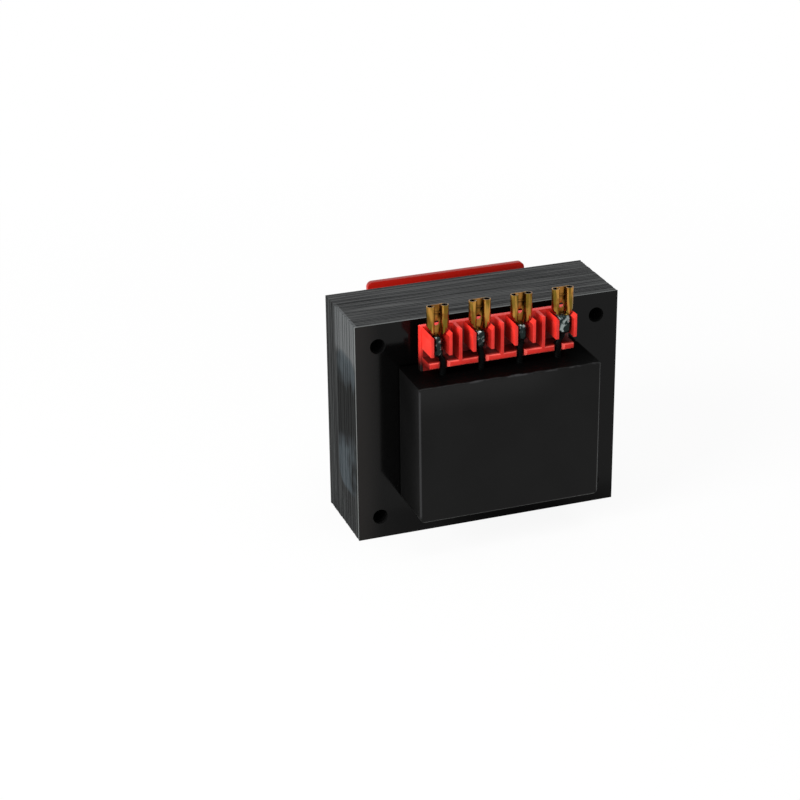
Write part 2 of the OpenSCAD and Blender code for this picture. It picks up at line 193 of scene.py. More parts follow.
@dataclass(frozen=True)
class VarnishedSteel:
    """Silicon steel sheet, stacked and dipped in black varnish: smooth faces and streaky cut edges."""

    sheet: str = "#050505"
    # Painted sheen on the faces beside the -X edge
    painted_sheen: str = "#1c1a19"
    edge_dark: str = "#0f1011"
    edge_light: str = "#343636"
    # Painted light on the top's cut edges
    lit_top_dark: str = "#1f2021"
    lit_top_light: str = "#4d4e4e"
    # Painted highlight along the front sheet's edge
    edge_highlight: str = "#6c6f6e"
    # Painted light on the upper part of the -X side
    upper_light: str = "#56595a"
    # Painted reflection in the run of varnish
    run_dark: str = "#060808"
    run_light: str = "#3a4145"
    # Painted shade in the clamping holes
    hole_shade: str = "#020202"
    # Real sheets are half a millimetre thick; the streaks are drawn about three sheets wide so that they show
    streak_mm: float = 1.5
    sheet_mm: float = 0.5
    streak_length_mm: float = 45.0
    streak_depth_mm: float = 0.05
    # Where the -X side begins, and the run of thick varnish down it: its lowest and highest Y and Z, the
    # radius of its corners and its soft rim
    side_mm: float = -47.0
    run_y: Span = (-15.2, 4.8)
    run_z: Span = (14.8, 66.0)
    run_radius_mm: float = 6.0
    run_rim_mm: float = 0.8
    # Levels between which the painted reflection in the run pales upwards, to its upper end, and downwards
    # in smudges, how far a full swing of the smudges' cloud moves them, and the size of that cloud
    run_upper_z: Span = (53.0, 65.0)
    run_lower_z: Span = (37.5, 31.0)
    run_wander_mm: float = 30.0
    smudge_mm: Grain = (9.0, 9.0, 16.0)
    # Where painted light falls on that side's upper part, where a painted highlight runs along the front
    # sheet's edge, and where the faces get a painted sheen
    upper_light_z: Span = (62.0, 67.0)
    upper_light_y: Span = (9.0, 3.0)
    edge_highlight_y: Span = (-14.7, -15.3)
    painted_sheen_x: Span = (-38.0, -47.0)
    # How strongly the upper side's painted light, the painted highlight and the run's pale upper end show
    upper_light_share: float = 0.8
    edge_highlight_share: float = 0.8
    upper_share: float = 0.9
    # Clamping holes: their distance from the core's middle, its level, and a radius just past their walls
    hole_x_mm: float = 40.0
    hole_z_mm: float = 32.0
    middle_mm: float = 40.0
    hole_r_mm: float = 2.95
    # Roughness of the faces, the cut edges and those on the side's upper part, and the varnish's gloss
    face_rough: float = 0.11
    edge_rough: float = 0.75
    upper_side_rough: float = 0.5
    ior: float = 1.5
    gloss: float = 0.14

    def on_side(self, coat: Coat) -> Node:
        """Marks the -X side of the stack."""
        return coat.add("Math", (coat.xyz["X"], self.side_mm * MM), operation="LESS_THAN")

    def varnish_run(self, coat: Coat) -> Node:
        """Marks the smooth run of varnish on the -X side.

        Args:
            coat: Material that gets the nodes.

        Returns:
            One inside the run and zero outside it.
        """
        _, y, z = coat.xyz
        beyond = []
        for value, (low, high) in ((y, self.run_y), (z, self.run_z)):
            middle, half = (low + high) / 2, (high - low) / 2 - self.run_radius_mm
            away = coat.add("Math", (value, middle * MM), operation="SUBTRACT")
            away = coat.add("Math", (away,), operation="ABSOLUTE")
            past = coat.add("Math", (away, half * MM), operation="SUBTRACT")
            beyond.append(coat.add("Math", (past, 0.0), operation="MAXIMUM"))
        distance = coat.add("VectorMath", (coat.add("CombineXYZ", beyond),), operation="LENGTH")
        rim = self.run_radius_mm + self.run_rim_mm, self.run_radius_mm - self.run_rim_mm
        return coat.add("MapRange", (distance, *metres(rim), 0.0, self.on_side(coat)), **SMOOTH)

    def lit_upper_side(self, coat: Coat) -> Node:
        """Marks the upper part of the -X side, which gets painted light.

        Args:
            coat: Material that gets the nodes.

        Returns:
            One in that part and zero outside it.
        """
        _, y, z = coat.xyz
        high = coat.add("MapRange", (z, *metres(self.upper_light_z), 0.0, self.on_side(coat)), **SMOOTH)
        return coat.add("MapRange", (y, *metres(self.upper_light_y), 0.0, high), **SMOOTH)

    def hole_walls(self, coat: Coat) -> Node:
        """Marks the walls of the clamping holes, which are painted near black as shade.

        Args:
            coat: Material that gets the nodes.

        Returns:
            One on the walls and zero elsewhere.
        """
        x, _, z = coat.xyz
        aside = coat.add("Math", (x,), operation="ABSOLUTE")
        aside = coat.add("Math", (aside, self.hole_x_mm * MM), operation="SUBTRACT")
        level = coat.add("Math", (z, self.middle_mm * MM), operation="SUBTRACT")
        level = coat.add("Math", (level,), operation="ABSOLUTE")
        level = coat.add("Math", (level, self.hole_z_mm * MM), operation="SUBTRACT")
        distance = coat.add("VectorMath", (coat.add("CombineXYZ", (aside, level)),), operation="LENGTH")
        return coat.add("Math", (distance, self.hole_r_mm * MM), operation="LESS_THAN")

    def streaks(self, coat: Coat) -> Node:
        """Draws the cut edges of the sheets.

        Args:
            coat: Material that gets the nodes.

        Returns:
            Streaks from zero to one that run along the sheets.
        """
        length, half = self.streak_length_mm, self.streak_length_mm / 2
        wide = coat.add("Mapping", {"Vector": coat.place, "Scale": per_mm(length, self.streak_mm, length)})
        broad = coat.add("TexNoise", {"Vector": wide, "Scale": 1.0, "Detail": 3.0, "Roughness": 0.55})
        narrow = coat.add("Mapping", {"Vector": coat.place, "Scale": per_mm(half, self.sheet_mm, half)})
        fine = coat.add("TexNoise", {"Vector": narrow, "Scale": 1.0, "Detail": 1.0, "Roughness": 0.55})
        return coat.add("MapRange", (coat.add("Mix", {0: 0.4, 2: broad, 3: fine}), 0.36, 0.66), **SMOOTH)

    def run_reflection(self, coat: Coat) -> Node:
        """Paints the reflection in the run of varnish, darkest in its middle.

        Args:
            coat: Material that gets the nodes.

        Returns:
            The colour.
        """
        add = coat.add
        place = add("Mapping", {"Vector": coat.place, "Scale": per_mm(*self.smudge_mm)})
        cloud = add("TexNoise", {"Vector": place, "Scale": 1.0, "Detail": 2.0, "Roughness": 0.55})
        wander = add("Math", (cloud, 0.5), operation="SUBTRACT")
        level = add("Math", (wander, self.run_wander_mm * MM, coat.xyz["Z"]), operation="MULTIPLY_ADD")
        smudges = add("MapRange", (cloud, 0.3, 0.6), **SMOOTH)
        lower = add("MapRange", (level, *metres(self.run_lower_z), 0.0, smudges), **SMOOTH)
        upper = add("MapRange", (level, *metres(self.run_upper_z), 0.0, self.upper_share), **SMOOTH)
        paler = add("Math", (lower, upper), operation="MAXIMUM")
        return add("Mix", {0: paler, 6: self.run_dark, 7: self.run_light}, **COLOUR)

    def cut_edges(self, coat: Coat, streaks: Node, upper_light: Node, run: Node) -> Node:
        """Colours the sides, top and underside of the stack, where the sheets' edges lie.

        Args:
            coat: Material that gets the nodes.
            streaks: Pattern of the sheets' edges.
            upper_light: Mask of the painted light on the side's upper part.
            run: Mask of the run of varnish.

        Returns:
            The colour.
        """
        add = coat.add
        # Painted light: the top is coloured paler than the sides
        up = add("MapRange", (coat.facing["Z"], 0.5, 0.9), **SMOOTH)
        edges = add("Mix", {0: streaks, 6: self.edge_dark, 7: self.edge_light}, **COLOUR)
        top = add("Mix", {0: streaks, 6: self.lit_top_dark, 7: self.lit_top_light}, **COLOUR)
        upper_lit = add("Math", (upper_light, self.upper_light_share), operation="MULTIPLY")
        # Painted highlight: a pale line along the front sheet's edge
        edge_highlight = add("MapRange", (coat.xyz["Y"], *metres(self.edge_highlight_y), 0.0, self.edge_highlight_share), **SMOOTH)
        for share, colour in ((up, top), (upper_lit, self.upper_light), (run, self.run_reflection(coat)), (edge_highlight, self.edge_highlight)):
            edges = add("Mix", {0: share, 6: edges, 7: colour}, **COLOUR)
        return edges

    def build(self) -> Material:
        """Makes the varnished steel material.

        Returns:
            The material of both kinds of sheet.
        """
        coat = Coat("black_varnished_silicon_steel")
        add = coat.add
        # Sheet faces mirror what stands on them; cut edges scatter light in long streaks, one per sheet
        flat = add("Math", (coat.facing["Y"],), operation="ABSOLUTE")
        flat = add("MapRange", (flat, 0.6, 0.95), **SMOOTH)
        streaks, hole_shade = self.streaks(coat), self.hole_walls(coat)
        run, upper_light = self.varnish_run(coat), self.lit_upper_side(coat)
        # Painted shade: the walls of the clamping holes are near black
        edges = add("Mix", {0: hole_shade, 6: self.cut_edges(coat, streaks, upper_light, run), 7: self.hole_shade}, **COLOUR)
        # Painted sheen: the faces are paler beside their -X edge
        painted_sheen_share = add("MapRange", (coat.xyz["X"], *metres(self.painted_sheen_x)), **SMOOTH)
        sheet = add("Mix", {0: painted_sheen_share, 6: self.sheet, 7: self.painted_sheen}, **COLOUR)
        colour = add("Mix", {0: flat, 6: edges, 7: sheet}, **COLOUR)
        rough = add("MapRange", (upper_light, 0.0, 1.0, self.edge_rough, self.upper_side_rough))
        rough = add("Math", (rough, hole_shade), operation="MAXIMUM")
        rough = add("Mix", {0: flat, 2: rough, 3: self.face_rough})
        level = add("Math", (flat, run), operation="MAXIMUM")
        relief = add("MapRange", (level, 1.0, 0.0, 0.0, streaks))
        return coat.finish(relief, self.streak_depth_mm, Base_Color=colour, Roughness=rough, IOR=self.ior,
                           Specular_IOR_Level=self.gloss)


@dataclass(frozen=True)
class CastResin:
    """Black epoxy cast in a mould: satin sides, a dull poured top in painted shade, painted edge highlights."""

    body: str = "#080808"
    body_light: str = "#0b0b0b"
    # Painted sheen on the front faces
    front_sheen: str = "#181818"
    # Painted shade on the poured top
    poured: str = "#010101"
    # Painted highlight on the round edges
    edge_glint: str = "#29292a"
    peel_mm: float = 2.2
    peel_depth_mm: float = 0.02
    cloud_mm: float = 18.0
    lip_mm: float = 7.0
    # How far out a coil head's edges get a painted highlight, where that sets in upwards, and where only
    # stretches do
    front_mm: float = 35.6
    glint_z: Span = (15.2, 17.0)
    missed_z: Span = (62.2, 62.8)
    # Painted sheen below the upper edge of the front faces: where it fades downwards, and towards +X
    band_z: Span = (52.0, 63.0)
    band_x: Span = (24.0, 4.0)
    # Roughness at the lows and highs of the peel, and on the poured top; gloss of the sides, and of that top
    peel_rough: Pair = (0.3, 0.4)
    poured_rough: float = 0.5
    ior: float = 1.5
    gloss: Pair = (0.12, 0.04)

    def glinting_edges(self, coat: Coat) -> Node:
        """Marks the upright edges of each head, and its upper edge in stretches, for a painted highlight.

        Args:
            coat: Material that gets the nodes.

        Returns:
            One on those edges and zero elsewhere.
        """
        add = coat.add
        _, y, z = coat.xyz
        outer = add("Math", (y,), operation="ABSOLUTE")
        outer = add("Math", (outer, self.front_mm * MM), operation="GREATER_THAN")
        glint_share = add("Math", (coat.round_edges(), outer), operation="MULTIPLY")
        glint_share = add("MapRange", (z, *metres(self.glint_z), 0.0, glint_share), **SMOOTH)
        cloud = {"Vector": coat.place, "Scale": 1 / (self.lip_mm * MM), "Detail": 3.0, "Roughness": 0.55}
        missed = add("MapRange", (add("TexNoise", cloud), 0.6, 0.48), **SMOOTH)
        missed = add("MapRange", (z, *metres(self.missed_z), 0.0, missed), **SMOOTH)
        return add("MapRange", (missed, 1.0, 0.0, 0.0, glint_share))

    def build(self) -> Material:
        """Makes the cast resin material.

        Returns:
            The material of the casting.
        """
        coat = Coat("cast_black_epoxy")
        add = coat.add
        # An even satin skin with the mould's faint orange peel; the round edges get a painted highlight line
        peel = add("TexNoise", {"Vector": coat.place, "Scale": 1 / (self.peel_mm * MM), "Detail": 2.0})
        cloud = add("TexNoise", {"Vector": coat.place, "Scale": 1 / (self.cloud_mm * MM), "Detail": 2.0})
        cloud = add("MapRange", (cloud, 0.35, 0.65), **SMOOTH)
        x, _, z = coat.xyz
        _, facing_y, facing_z = coat.facing
        # Painted sheen: a paler band on the front faces, below the upper edge
        front = add("MapRange", (facing_y, -0.8, -0.98), **SMOOTH)
        front_sheen = add("MapRange", (x, *metres(self.band_x), 0.0, front), **SMOOTH)
        front_sheen = add("MapRange", (z, *metres(self.band_z), 0.0, front_sheen), **SMOOTH)
        # Painted shade: the poured top is coloured near black; its roughness and low gloss are its own
        poured = add("MapRange", (facing_z, 0.8, 0.98), **SMOOTH)
        body = self.body
        for share, colour in ((cloud, self.body_light), (front_sheen, self.front_sheen), (poured, self.poured),
                              (self.glinting_edges(coat), self.edge_glint)):
            body = add("Mix", {0: share, 6: body, 7: colour}, **COLOUR)
        rough = add("MapRange", (peel, 0.0, 1.0, *self.peel_rough))
        rough = add("Mix", {0: poured, 2: rough, 3: self.poured_rough})
        gloss = add("MapRange", (poured, 0.0, 1.0, *self.gloss))
        return coat.finish(peel, self.peel_depth_mm, Base_Color=body, Roughness=rough, IOR=self.ior,
                           Specular_IOR_Level=gloss)


@dataclass(frozen=True)
class RedMoulding:
    """Flame-retardant red nylon, injection moulded: even colour, a soft gloss, painted edge highlights and
    painted shade.
    """

    body: str = "#e82c22"
    shade: str = "#d8241b"
    # Painted highlight on the round edges
    edge: str = "#fb6d61"
    # Painted shade in the recesses
    recess_shade: str = "#3c0805"
    # Painted shade at the foot of the row's ends
    foot_shade: str = "#0a0302"
    barrier: str = "#b8180c"
    barrier_edge: str = "#8c1209"
    cloud_mm: float = 6.0
    grain_mm: float = 1.1
    grain_depth_mm: float = 0.01
    # The terminal row: how far its ends lie from its middle, and the cell round each terminal
    end_mm: float = 26.1
    pitch_mm: float = 15.0
    cell_mm: float = 3.2
    # Where shade begins behind the row's front, on its sides and on faces that look forward, and where it is
    # full; the same for the shelf, with a level just above its top
    shade_from: Span = (-30.4, -28.2)
    shade_to_mm: float = -25.4
    shelf_y: Span = (-29.8, -26.5)
    shelf_top_mm: float = 69.0
    # Levels between which the shade deepens downwards, and between which painted shade darkens the row's ends
    shade_z: Span = (79.5, 75.5)
    foot_z: Span = (73.0, 64.8)
    # The cheeks' sloped tops: the level at which they begin, and how far they reach from a terminal's middle
    slope_z_mm: float = 77.1
    slope_x_mm: float = 3.95
    # How dark the painted shade gets on the row's back, its -X sides, the sides of its cells and its shelf
    back_share: float = 0.8
    side_share: float = 0.6
    cell_share: float = 0.48
    shelf_share: float = 0.95
    # How strong the painted highlight on the round edges gets, and on the sloped tops
    pale: Pair = (0.6, 0.1)
    # Roughness at the lows and highs of the grain, and the gloss
    grain_rough: Pair = (0.34, 0.46)
    ior: float = 1.53
    gloss: float = 0.3

    def shaded_recesses(self, coat: Coat, aside: Node) -> Node:
        """Marks the faces where painted shade deepens the red: the row's back, its shelf and its cells.

        Args:
            coat: Material that gets the nodes.
            aside: Distance from the middle of the terminal.

        Returns:
            How deep a face lies, from zero to one.
        """
        add = coat.add
        x, y, z = coat.xyz
        facing_x, facing_y, facing_z = coat.facing
        inside = add("Math", (x, -self.end_mm * MM), operation="GREATER_THAN")
        deep = add("MapRange", (facing_x, -0.5, -0.9, self.back_share, self.side_share))
        inside = add("Math", (inside, deep), operation="MULTIPLY")
        lower = add("MapRange", (z, *metres(self.shade_z), 0.0, inside), **SMOOTH)
        upright = add("MapRange", (facing_z, 0.6, 0.3, 0.0, lower), **SMOOTH)
        start = add("MapRange", (facing_y, -0.5, -0.9, *metres(self.shade_from)))
        back = add("MapRange", (y, start, self.shade_to_mm * MM, 0.0, upright), **SMOOTH)
        near = add("Math", (aside, self.cell_mm * MM), operation="LESS_THAN")
        near = add("Math", (near, self.cell_share), operation="MULTIPLY")
        sideways = add("Math", (facing_x,), operation="ABSOLUTE")
        cell = add("MapRange", (sideways, 0.8, 0.95, 0.0, near), **SMOOTH)
        low = add("Math", (z, self.shelf_top_mm * MM), operation="LESS_THAN")
        low = add("Math", (low, self.shelf_share), operation="MULTIPLY")
        level = add("MapRange", (facing_z, 0.6, 0.9, 0.0, low), **SMOOTH)
        shelf = add("MapRange", (y, *metres(self.shelf_y), 0.0, level), **SMOOTH)
        deepest = add("Math", (back, cell), operation="MAXIMUM")
        return add("Math", (deepest, shelf), operation="MAXIMUM")

    def lit_edges(self, coat: Coat, aside: Node) -> Node:
        """Marks the round edges for a painted highlight, but hardly the cheeks' sloped tops, which face along
        no axis either.

        Args:
            coat: Material that gets the nodes.
            aside: Distance from the middle of the terminal.

        Returns:
            How pale a place is, from zero to one.
        """
        beside = coat.add("Math", (aside, self.slope_x_mm * MM), operation="LESS_THAN")
        above = coat.add("Math", (coat.xyz["Z"], self.slope_z_mm * MM), operation="GREATER_THAN")
        sloped = coat.add("Math", (beside, above), operation="MULTIPLY")
        pale = coat.add("MapRange", (sloped, 0.0, 1.0, *self.pale))
        return coat.add("Math", (coat.round_edges(), pale), operation="MULTIPLY")

    def build(self) -> Material:
        """Makes the red nylon material.

        Returns:
            The material of the bobbin.
        """
        coat = Coat("moulded_red_nylon")
        add = coat.add
        # Strong even red with a soft sheen; the round edges get a painted highlight
        cloud = add("TexNoise", {"Vector": coat.place, "Scale": 1 / (self.cloud_mm * MM), "Detail": 2.0})
        cloud = add("MapRange", (cloud, 0.35, 0.65), **SMOOTH)
        x, y, z = coat.xyz
        aside = coat.aside(self.pitch_mm)
        end = add("Math", (x,), operation="ABSOLUTE")
        end = add("Math", (end, self.end_mm * MM), operation="GREATER_THAN")
        # Painted shade: the row's ends darken to near black towards their foot
        foot_shade = add("MapRange", (z, *metres(self.foot_z), 0.0, end), **SMOOTH)
        # The rear barrier is a deeper red, and darker still on its upward faces
        up = add("MapRange", (coat.facing["Z"], 0.2, 0.7), **SMOOTH)
        barrier = add("Mix", {0: up, 6: self.barrier, 7: self.barrier_edge}, **COLOUR)
        rear = add("Math", (y, 0.0), operation="GREATER_THAN")
        body = self.shade
        for share, colour in ((cloud, self.body), (self.lit_edges(coat, aside), self.edge),
                              (self.shaded_recesses(coat, aside), self.recess_shade), (foot_shade, self.foot_shade), (rear, barrier)):
            body = add("Mix", {0: share, 6: body, 7: colour}, **COLOUR)
        grain = add("TexNoise", {"Vector": coat.place, "Scale": 1 / (self.grain_mm * MM), "Detail": 2.0})
        rough = add("MapRange", (grain, 0.0, 1.0, *self.grain_rough))
        return coat.finish(grain, self.grain_depth_mm, Base_Color=body, Roughness=rough, IOR=self.ior,
                           Specular_IOR_Level=self.gloss)


@dataclass(frozen=True)
class StampedBrass:
    """Half-hard brass strip, stamped and rolled: drawn lines along it, with brown and olive tarnish."""

    bright: str = "#b5853f"
    brown: str = "#74421a"
    olive: str = "#6e5a20"
    dark: str = "#120c05"
    line_mm: Grain = (0.35, 0.35, 6.0)
    line_depth_mm: float = 0.012
    band_mm: Grain = (1.6, 1.6, 9.0)
    spot_mm: Grain = (2.4, 2.4, 3.0)
    # How the receptacles repeat, and where the rolled edges of each, the base between them and the creases
    # beside its ridge lie
    pitch_mm: float = 15.0
    roll_x_mm: float = 2.55
    roll_y_mm: float = -26.6
    roll_inside_mm: float = 1.1
    base_x: Span = (1.5, 1.1)
    ridge_x: Span = (1.3, 0.7)
    ridge_z_mm: float = 85.3
    crease: Span = (1.2, 0.4)
    # How strongly brown spots, the base's tarnish and creases show; roughness at the lines' lows and highs
    spot_share: float = 0.75
    base_share: float = 0.55
    crease_share: float = 0.45
    line_rough: Pair = (0.17, 0.37)

    def shadows(self, coat: Coat, aside: Node) -> Node:
        """Marks the insides of the rolled edges and, faintly, the crease on either side of the ridge.

        Args:
            coat: Material that gets the nodes.
            aside: Distance from the middle of the receptacle.

        Returns:
            How dark a place is, from zero to one.
        """
        add = coat.add
        _, y, z = coat.xyz
        beside = add("Math", (aside, self.roll_x_mm * MM), operation="SUBTRACT")
        behind = add("Math", (y, self.roll_y_mm * MM), operation="SUBTRACT")
        within = add("VectorMath", (add("CombineXYZ", (beside, behind)),), operation="LENGTH")
        rolled = add("Math", (within, self.roll_inside_mm * MM), operation="LESS_THAN")
        away = add("Math", (z, self.ridge_z_mm * MM), operation="SUBTRACT")
        away = add("Math", (away,), operation="ABSOLUTE")
        front = add("MapRange", (coat.facing["Y"], -0.2, -0.5, 0.0, self.crease_share), **SMOOTH)
        crease = add("MapRange", (aside, *metres(self.ridge_x), 0.0, front), **SMOOTH)
        crease = add("MapRange", (away, *metres(self.crease), 0.0, crease), **SMOOTH)
        return add("Math", (rolled, crease), operation="MAXIMUM")

    def build(self) -> Material:
        """Makes the brass material.

        Returns:
            The material of the receptacles.
        """
        coat = Coat("rolled_brass_strip")
        add = coat.add
        # Warm metal with lengthwise draw lines; tarnish gathers in soft upright bands
        patterns = []
        for size, detail in ((self.line_mm, 2.0), (self.band_mm, 1.0), (self.spot_mm, 3.0)):
            place = add("Mapping", {"Vector": coat.place, "Scale": per_mm(*size)})
            noise = {"Vector": place, "Scale": 1.0, "Detail": detail, "Roughness": 0.55}
            patterns.append(add("TexNoise", noise))
        lines, bands, spots = patterns
        bands = add("MapRange", (bands, 0.4, 0.62), **SMOOTH)
        spots = add("MapRange", (spots, 0.48, 0.68, 0.0, self.spot_share), **SMOOTH)
        # The base between the rolled edges is the brownest
        aside = coat.aside(self.pitch_mm)
        base = add("MapRange", (aside, *metres(self.base_x), 0.0, self.base_share), **SMOOTH)
        colour = self.bright
        for share, tarnish in ((bands, self.olive), (spots, self.brown), (base, self.brown),
                               (self.shadows(coat, aside), self.dark)):
            colour = add("Mix", {0: share, 6: colour, 7: tarnish}, **COLOUR)
        rough = add("MapRange", (lines, 0.0, 1.0, *self.line_rough))
        return coat.finish(lines, self.line_depth_mm, Base_Color=colour, Metallic=1.0, Roughness=rough)


@dataclass(frozen=True)
class TinSolder:
    """Tin-lead solder, frozen with flux on it: a dark bumpy mirror with small bright spots."""

    bright: str = "#8d9694"
    dull: str = "#222b2a"
    dimple_mm: float = 0.9
    dimple_depth_mm: float = 0.3
    flux_mm: float = 1.6
    # Levels between which the flux thins out upwards, how much more and less of it there is at the two, and
    # the roughness of clean and of fluxed solder
    clean_z: Span = (72.0, 79.8)
    flux_drift: Pair = (0.09, -0.09)
    rough: Pair = (0.1, 0.3)

    def build(self) -> Material:
        """Makes the solder material.

        Returns:
            The material of the solder joints.
        """
        coat = Coat("fluxed_tin_solder")
        add = coat.add
        # Sharp small highlights on a bumpy mirror, with dark flux between them that ran down before it set
        dimples = add("TexNoise", {"Vector": coat.place, "Scale": 1 / (self.dimple_mm * MM), "Detail": 2.0})
        flux = add("TexNoise", {"Vector": coat.place, "Scale": 1 / (self.flux_mm * MM), "Detail": 3.0})
        ran_down = add("MapRange", (coat.xyz["Z"], *metres(self.clean_z), *self.flux_drift))
        flux = add("MapRange", (add("Math", (flux, ran_down)), 0.35, 0.47), **SMOOTH)
        colour = add("Mix", {0: flux, 6: self.bright, 7: self.dull}, **COLOUR)
        rough = add("MapRange", (flux, 0.0, 1.0, *self.rough))
        return coat.finish(dimples, self.dimple_depth_mm, Base_Color=colour, Metallic=1.0, Roughness=rough)


@dataclass(frozen=True)
class WireSleeve:
    """Varnished black sleeving over a stranded lead: faint slanting ribs and a dull gloss."""

    body: str = "#010202"
    rib: str = "#060808"
    rib_mm: float = 0.9
    rib_depth_mm: float = 0.1
    slant: float = 0.6
    wear_mm: Grain = (1.1, 1.1, 1.9)
    rough: float = 0.5
    ior: float = 1.5
    gloss: float = 0.06

    def build(self) -> Material:
        """Makes the wire sleeve material.

        Returns:
            The material of the leads.
        """
        coat = Coat("varnished_black_sleeving")
        add = coat.add
        # Uneven ribs of the braid slant round the lead, and their crowns glint here and there
        x, _, z = coat.xyz
        slant = add("Math", (x, self.slant, z), operation="MULTIPLY_ADD")
        wave = add("Math", (slant, 2 * math.pi / (self.rib_mm * MM)), operation="MULTIPLY")
        crowns = add("MapRange", (add("Math", (wave,), operation="SINE"), -1.0, 1.0))
        place = add("Mapping", {"Vector": coat.place, "Scale": per_mm(*self.wear_mm)})
        glint_share = add("TexNoise", {"Vector": place, "Scale": 1.0, "Detail": 3.0, "Roughness": 0.55})
        ribs = add("Math", (crowns, glint_share), operation="MULTIPLY")
        colour = add("Mix", {0: ribs, 6: self.body, 7: self.rib}, **COLOUR)
        return coat.finish(ribs, self.rib_depth_mm, Base_Color=colour, Roughness=self.rough, IOR=self.ior,
                           Specular_IOR_Level=self.gloss)


@dataclass(frozen=True)
class EnamelledCopper:
    """Enamelled copper wire, wound turn beside turn: fine level ribs with a warm gloss."""

    crown: str = "#b4602a"
    # Painted shade in the grooves between turns
    groove_shade: str = "#4a200c"
    turn_mm: float = 0.5
    turn_depth_mm: float = 0.1
    tint_mm: Grain = (5.0, 5.0, 1.0)
    tint_share: Pair = (0.6, 1.0)
    metallic: float = 0.7
    rough: float = 0.3

    def build(self) -> Material:
        """Makes the enamelled copper material.

        Returns:
            The material of the windings.
        """
        coat = Coat("enamelled_copper_wire")
        add = coat.add
        # Each turn shows as a glossy rib, with painted shade in the groove beside it
        wave = add("Math", (coat.xyz["Z"], 2 * math.pi / (self.turn_mm * MM)), operation="MULTIPLY")
        turns = add("MapRange", (add("Math", (wave,), operation="SINE"), -1.0, 1.0))
        place = add("Mapping", {"Vector": coat.place, "Scale": per_mm(*self.tint_mm)})
        tint = add("TexNoise", {"Vector": place, "Scale": 1.0})
        tint = add("MapRange", (tint, 0.3, 0.7, *self.tint_share), **SMOOTH)
        share = add("Math", (turns, tint), operation="MULTIPLY")
        colour = add("Mix", {0: share, 6: self.groove_shade, 7: self.crown}, **COLOUR)
        return coat.finish(turns, self.turn_depth_mm, Base_Color=colour, Metallic=self.metallic,
                           Roughness=self.rough)


@dataclass(frozen=True)
class InsulatingWrap:
    """Insulation wound round the coil: polyester film or tape, with faint level laps."""

    name: str
    body: str
    lap: str
    lap_mm: float = 9.0
    wrinkle_mm: Grain = (7.0, 7.0, 1.5)
    wrinkle_depth_mm: float = 0.1
    rough: Pair = (0.3, 0.5)
    ior: float = 1.6

    def build(self) -> Material:
        """Makes the wrap material.

        Returns:
            The material of one wrap.
        """
        coat = Coat(self.name)
        add = coat.add
        # Overlapping laps show as soft level lines, with slight wrinkles between them
        height = add("Math", (coat.xyz["Z"], self.lap_mm * MM), operation="DIVIDE")
        laps = add("MapRange", (add("Math", (height,), operation="FRACT"), 0.9, 1.0), **SMOOTH)
        place = add("Mapping", {"Vector": coat.place, "Scale": per_mm(*self.wrinkle_mm)})
        wrinkles = add("TexNoise", {"Vector": place, "Scale": 1.0})
        colour = add("Mix", {0: laps, 6: self.body, 7: self.lap}, **COLOUR)
        rough = add("MapRange", (wrinkles, 0.0, 1.0, *self.rough))
        return coat.finish(wrinkles, self.wrinkle_depth_mm, Base_Color=colour, Roughness=rough, IOR=self.ior)


def leave_edit_mode() -> None:
    """Goes back to object mode and deselects every object."""
    if bpy.context.object is not None and bpy.context.object.mode != "OBJECT":
        bpy.ops.object.mode_set(mode="OBJECT")
    bpy.ops.object.select_all(action="DESELECT")


def take(piece: Object) -> None:
    """Makes a piece the only selected one and the active one, in object mode.

    Args:
        piece: Piece to work on.
    """
    leave_edit_mode()
    piece.select_set(True)
    bpy.context.view_layer.objects.active = piece


def edit(piece: Object) -> None:
    """Opens a piece in edit mode, selected all over.

    Args:
        piece: Piece to work on.
    """
    take(piece)
    bpy.ops.object.mode_set(mode="EDIT")
    bpy.ops.mesh.select_all(action="SELECT")


def pick_faces(piece: Object, wanted: Callable[[MeshPolygon], bool]) -> None:
    """Selects the faces of the piece in edit mode that pass a test.

    Args:
        piece: Piece that is open in edit mode.
        wanted: Test on a face's place and normal.
    """
    bpy.ops.mesh.select_mode(type="FACE")
    bpy.ops.mesh.select_all(action="DESELECT")
    bpy.ops.object.mode_set(mode="OBJECT")
    for face in piece.data.polygons:
        face.select = wanted(face)
    bpy.ops.object.mode_set(mode="EDIT")


def drop_edges(piece: Object, unwanted: Callable[[Vector, Vector], bool]) -> None:
    """Deselects the edges of the piece in edit mode whose ends pass a test.

    Args:
        piece: Piece that is open in edit mode.
        unwanted: Test on an edge's two ends.
    """
    bpy.ops.object.mode_set(mode="OBJECT")
    points = piece.data.vertices
    for edge in piece.data.edges:
        if edge.select and unwanted(*(points[end].co for end in edge.vertices)):
            edge.select = False
    bpy.ops.object.mode_set(mode="EDIT")


def cut(place: Sequence[float], facing: Sequence[float], **settings: Any) -> None:
    """Cuts the piece in edit mode along a plane, all through.

    Args:
        place: A point of the plane.
        facing: The way that the plane faces.
        settings: What else the cut does.
    """
    bpy.ops.mesh.select_all(action="SELECT")
    bpy.ops.mesh.bisect(plane_co=place, plane_no=facing, threshold=FINE, **settings)


def face_outwards() -> None:
    """Turns all faces of the piece in edit mode outwards."""
    bpy.ops.mesh.select_all(action="SELECT")
    bpy.ops.mesh.normals_make_consistent(inside=False)


def modify(piece: Object, kind: str, **settings: Any) -> None:
    """Adds a modifier to a piece and applies it.

    Args:
        piece: Piece to change.
        kind: Blender's identifier of the modifier.
        settings: The modifier's settings.
    """
    take(piece)
    modifier = piece.modifiers.new(kind.lower(), kind)
    for name, value in settings.items():
        setattr(modifier, name, value)
    bpy.ops.object.modifier_apply(modifier=modifier.name)


def smooth(piece: Object, degrees: float) -> None:
    """Shades a piece smooth across edges flatter than an angle."""
    take(piece)
    bpy.ops.object.shade_smooth_by_angle(angle=math.radians(degrees))


